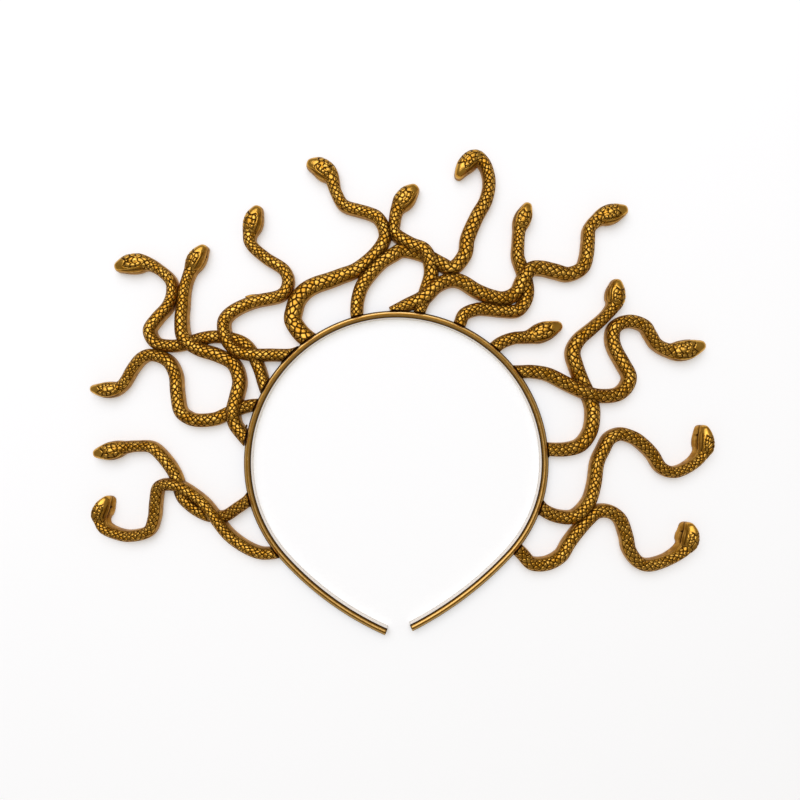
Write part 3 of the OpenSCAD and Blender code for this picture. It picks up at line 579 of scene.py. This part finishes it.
def carve(name, seed, head, half, turned, places):
    """All that is cut into a snake's skin. On the dome a head's plates pass into the body's scales,
    which end at a seam on either side. On the walls run a groove under the rim and, on a head, a
    mouth line and a small eye. The places are, at each point: along in heads, across, up and
    along the dome as shares, the scales' phase, and 1 on the dome. Gives the depth cut, the dirt,
    the scale's own number and how plain the skin is."""
    along, across, high, share, phase, on_dome = places
    is_head = 1 - smoothstep(0.8, 0.95, along)
    plates = BROWS if name in BROWED else ROWS
    head_cut, head_dirt, head_own, bare = head_relief(
        along, across, half, head, seed, plates, turned)
    body_cut, body_dirt, body_own = body_relief(share, phase, seed)
    off = np.abs(share - 0.5) * 2
    scaled = 1 - smoothstep(0.74, 0.82, off)
    seam = hill(off, 0.8, 0.05)
    body_cut = body_cut * scaled + 0.16 * seam
    body_dirt = np.maximum(body_dirt * scaled, 0.55 * seam)
    cut = (head_cut * is_head + body_cut * (1 - is_head)) * on_dome
    darkening = (head_dirt * is_head + body_dirt * (1 - is_head)) * on_dome
    margin = ((1 - scaled) * (1 - is_head) + bare * is_head) * on_dome
    own = np.where(is_head > 0.5, head_own, body_own)
    wall = 1 - on_dome
    groove = hill(high, 0.55, 0.05) * wall
    mouth = hill(high, 0.3, 0.035) * wall * is_head * smoothstep(0.02, 0.08, along)
    eye = hill((along - 0.3) * head, 0, 0.5) * hill(high * HEAD_D, 0.43 * HEAD_D, 0.45)
    eye = eye * wall * is_head
    cut = cut + groove * (0.18 + 0.3 * is_head) + 0.2 * mouth + 0.3 * eye
    darkening = np.clip(darkening + groove * (0.45 + 0.4 * is_head) + 0.6 * mouth + eye, 0, 1)
    return cut * smoothstep(0.0, 0.06, along), darkening, own, np.maximum(wall, 0.8 * margin)


def sink(across, high, width, depth, cut):
    """A section at its width and depth, each point sunk by its cut at right angles to the line
    between its neighbours, and never below the plane of the back."""
    aside = across * width / 2
    up = high * depth
    ta = np.roll(aside, -1, 1) - np.roll(aside, 1, 1)
    tz = np.roll(up, -1, 1) - np.roll(up, 1, 1)
    length = np.hypot(ta, tz) + 1e-9
    out_a, out_z = -tz / length, ta / length
    flip = np.where(out_a * across + out_z * (high - 0.4) < 0, -1, 1)
    return aside - flip * out_a * cut, np.maximum(up - flip * out_z * cut, 0.0)


def stop_at_band(px, py, dx, dy, node):
    """Puts points that lie past the band's face back on it: along the body where it meets the
    band steeply, and elsewhere straight out from the face's centre. Gives them, with how near the
    face each one is."""
    face_r, face_x = FACES.get(node, (BAND_R, 0))
    face_r += SOLDER_GAP
    qx = px - face_x
    away = np.maximum(np.hypot(qx, py), 1e-6)
    near = np.exp(-np.clip(away - face_r, 0, None) / 0.22)
    ahead = qx * dx + py * dy
    root = np.sqrt(np.maximum(ahead ** 2 + face_r ** 2 - away ** 2, 0))
    back = np.where(away < face_r, ahead + root, 0)
    push = np.maximum(face_r / away, 1)
    steep = -ahead / away > 0.5
    px = np.where(steep, px - back * dx, face_x + qx * push)
    py = np.where(steep, py - back * dy, py * push)
    return px, py, near


def snake(name, node, head_share, wide_share, lean, girth, route, seed):
    """One snake: the section carried along its route at its width and depth, with its scales and
    plates cut in, its head leaning by a share of its depth, and its root laid against the band."""
    head = HEAD_L * head_share
    s, x, y, tall, dx, dy = course(route, head)
    width, depth, body = thickness(s, tall, head, wide_share, girth)
    h = s / head
    pitch = SCALE_PITCH * (0.35 + 0.65 * body[1:] / SNAKE_W)
    phase = np.concatenate([[0], np.cumsum(np.diff(s) / pitch)])
    # The side of the head that faces the middle of the hoop shows more of its jaw.
    mid = np.searchsorted(s, head / 2)
    inward = np.array([-x[mid], JAWS_FACE_UP - y[mid]])
    inward /= math.hypot(*inward)
    turned = (0.34 - 0.5 * abs(lean)) * float(-dy[mid] * inward[0] + dx[mid] * inward[1])

    # Rings by points round a ring.
    H, W, D, P = (np.repeat(v[:, None], len(ACROSS), 1) for v in (h, width, depth, phase))
    C, U, A, on_dome = (np.repeat(v[None, :], len(s), 0) for v in (ACROSS, UP, SHARE, DOME))
    cut, darkening, own, plain = carve(
        name, seed, head, HEAD_W * wide_share / 2, turned, (H, C, U, A, P, on_dome))
    aside, up = sink(C, U, W, D, cut)
    aside = aside + lean * np.interp(H, [0, 0.8, 1.7], [1, 1, 0]) * (U - 0.5) * D
    dx, dy = dx[:, None], dy[:, None]
    px, py, near_band = stop_at_band(
        x[:, None] - dy * aside, y[:, None] + dx * aside, dx, dy, node)
    points = np.stack([px, py, up], -1)
    # Darker near the band's face.
    darkening = np.clip(darkening + near_band * 0.2, 0, 1)
    # Painted shade where another snake of the same casting lies against this one.
    darkening = np.maximum(darkening, contact_shade(points, x, y, name, node))
    thing = build(name, points, np.stack([darkening, own, plain, np.ones_like(own)], -1), CAST)
    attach(thing, "root")
    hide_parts(node)


for number, row in enumerate(SNAKES):
    snake(*row, seed=number * 3.7 + 1)

# ---------------------------------------------------------------- band
def band_line(step=0.8):
    """The middle line of the band's bar from its left end over the crown to its right end:
    arcs that leave each other along their tangents. Gives places and headings."""
    pieces = []
    for sign, side, turn, leg_turn, end in (
            (-1, LEFT_SIDE, LEFT_TURN, LEFT_LEG_TURN, LEFT_END),
            (1, RIGHT_SIDE, RIGHT_TURN, RIGHT_LEG_TURN, RIGHT_END)):
        mid = BAND_R * side - BAND_W / 2
        shift = BAND_R * (1 - side)
        t, u = math.radians(turn), math.radians(leg_turn)
        leg = (shift + mid * math.cos(t) - end) / (math.cos(t) - math.cos(t + u))
        cx, cy = shift + (mid - leg) * math.cos(t), (leg - mid) * math.sin(t)
        a = np.linspace(0, t, int(mid * t / step))
        b = np.linspace(t, t + u, int(leg * u / step))[1:]
        x = np.concatenate([shift + mid * np.cos(a), cx + leg * np.cos(b)])
        y = np.concatenate([-mid * np.sin(a), cy - leg * np.sin(b)])
        ang = np.concatenate([-a, -b])
        pieces.append((sign * x, y, sign * np.cos(ang), np.sin(ang)))
    mid = BAND_R - BAND_W / 2
    a = np.linspace(math.pi, 0, int(mid * math.pi / step))[1:-1]
    top = (mid * np.cos(a), mid * np.sin(a), np.cos(a), np.sin(a))
    left, right = pieces
    return [np.concatenate([left[k][::-1], top[k], right[k]]) for k in range(4)]


def bar_section():
    """Round the bar from its front's outer edge: over the front, which is an arc, down the inner
    wall, which leans in, along the flat back and up the outer wall. Gives across, up, how dark
    each place is and 1 on the inner wall, and the height at which the walls end."""
    half = BAND_W / 2
    r = (half ** 2 + BAND_CROWN ** 2) / (2 * BAND_CROWN)
    turn = math.asin(min(1, half / r))
    a = np.linspace(turn, -turn, FRONT_STEPS)
    across = np.concatenate([
        r * np.sin(a), -half - WALL_SLANT * np.array([0.08, 0.4, 0.7, 0.97]),
        [-half - 0.6 * WALL_SLANT, 0, half - 0.15], [half] * len(WALL_AT)])
    base = BAND_D - r
    rim = base + r * math.cos(turn)
    up = np.concatenate([base + r * np.cos(a), WALL_AT * rim, [0, 0, 0], WALL_AT[::-1] * rim])
    # Painted shade at both edges and a little in the middle, and painted highlights to both sides
    # of that.
    place = across / half
    shade_and_highlight = (0.22 + 1.15 * hill(place, 1, 0.26) + 0.8 * hill(place, -1, 0.2)
            + 0.42 * hill(place, 0.02, 0.13) + 0.2 * (1 - smoothstep(-0.75, -0.5, place))
            - 0.85 * hill(place, 0.48, 0.2) - 0.2 * hill(place, -0.35, 0.16))
    inner = np.zeros(len(across))
    inner[FRONT_STEPS:FRONT_STEPS + len(WALL_AT) + 1] = 1
    return across, up, np.where(inner > 0, 0.05, shade_and_highlight), inner, rim


def band():
    """The bar's section carried along the middle line, with its front a little uneven, as that of
    a drawn and filed bar is: the product of two sine waves, where it is above nothing, comes off
    the front."""
    x, y, ox, oy = band_line()
    across, up, shade_and_highlight, inner, rim = bar_section()
    around = np.linspace(0, 1, len(across))
    ring = np.arange(len(x))
    wave = np.maximum(0, UNEVEN * np.sin(ring * 0.9) * np.sin(ring * 0.23))
    points = np.stack([x[:, None] + ox[:, None] * across, y[:, None] + oy[:, None] * across,
                       up - wave[:, None] * (up > rim)], -1)
    tones = np.stack([shade_and_highlight, around, inner, np.ones(len(across))], -1)
    tones = np.repeat(tones[None], len(x), 0)
    thing = build("band_bar", points[:, ::-1], tones[:, ::-1], BAR)
    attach(thing, "root")
    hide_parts("band")


band()


# ---------------------------------------------------------------- casting flash and solder
def bead(name, x, y, z, long, wide, high, turn, darkening):
    """A rounded lump: an ellipsoid whose half sizes are long, wide and high, turned by an angle
    about the vertical, with its rings along its length."""
    t = np.linspace(0.06, math.pi - 0.06, 18)[:, None]
    a = np.linspace(0, 2 * math.pi, 20, endpoint=False)[None, :]
    u = -long * np.cos(t) + 0 * a
    v = wide * np.sin(t) * np.cos(a)
    w = high * np.sin(t) * np.sin(a)
    c, s = math.cos(turn), math.sin(turn)
    points = np.stack([x + u * c - v * s, y + u * s + v * c, z + w], -1)
    tones = np.empty(points.shape[:2] + (4,))
    tones[...] = (darkening, 0.7, 0.5, 1)
    thing = build(name, points, tones, CAST)
    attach(thing, "root")


bead("casting_flash", -64.7, 75.1, 3.4, long=3.3, wide=0.75, high=0.4, turn=0.14, darkening=0.15)
for number, (x, y, size) in enumerate([
        (12.3, 67.9, 1.0), (64.4, -19.2, 0.8), (55.6, -36.4, 0.8), (-67.4, 16.6, 0.8),
        (-68.0, 12.2, 0.7)], 1):
    bead(f"solder_{number}", x, y, 3.1, long=size, wide=0.5 * size, high=1.1,
         turn=math.atan2(y, x) + math.pi / 2, darkening=0.45)

# ---------------------------------------------------------------- floor and light
floor_mat, floor_shader, floor_flow = material("white_paper")
plug(floor_flow, floor_shader, Base_Color=(0.925, 0.925, 0.885, 1), Roughness=0.9,
     Emission_Color=(1, 0.985, 0.945, 1), Emission_Strength=0.28)
floor_mesh = bpy.data.meshes.new("floor")
floor_mesh.from_pydata([(-3, -3, 0), (3, -3, 0), (3, 3, 0), (-3, 3, 0)], [], [(0, 1, 2, 3)])
floor_mesh.materials.append(floor_mat)
floor = bpy.data.objects.new("floor", floor_mesh)
scene.collection.objects.link(floor)


def lamp(name, place, aim, energy, size):
    """A square, slightly cool area light of a size, at a place, turned towards an aim."""
    data = bpy.data.lights.new(name, "AREA")
    data.color = (0.95, 0.98, 1.14)
    data.energy, data.size = energy, size
    thing = bpy.data.objects.new(name, data)
    thing.location = place
    back = np.array(place, float) - np.array(aim, float)
    thing.rotation_euler = (math.atan2(math.hypot(back[0], back[1]), back[2]), 0,
                            math.atan2(back[0], -back[1]))
    scene.collection.objects.link(thing)


lamp("key", place=(-0.25, 0.75, 1.55), aim=(0, 0.03, 0), energy=19.5, size=1.8)
lamp("glint", place=(-0.35, 0.55, 1.35), aim=(0, 0.03, 0), energy=0.75, size=0.45)

world = bpy.data.worlds.new("studio")
world.use_nodes = True
backdrop = world.node_tree.nodes["Background"].inputs
backdrop["Color"].default_value = (1, 0.95, 0.88, 1)
backdrop["Strength"].default_value = 0.33
scene.world = world
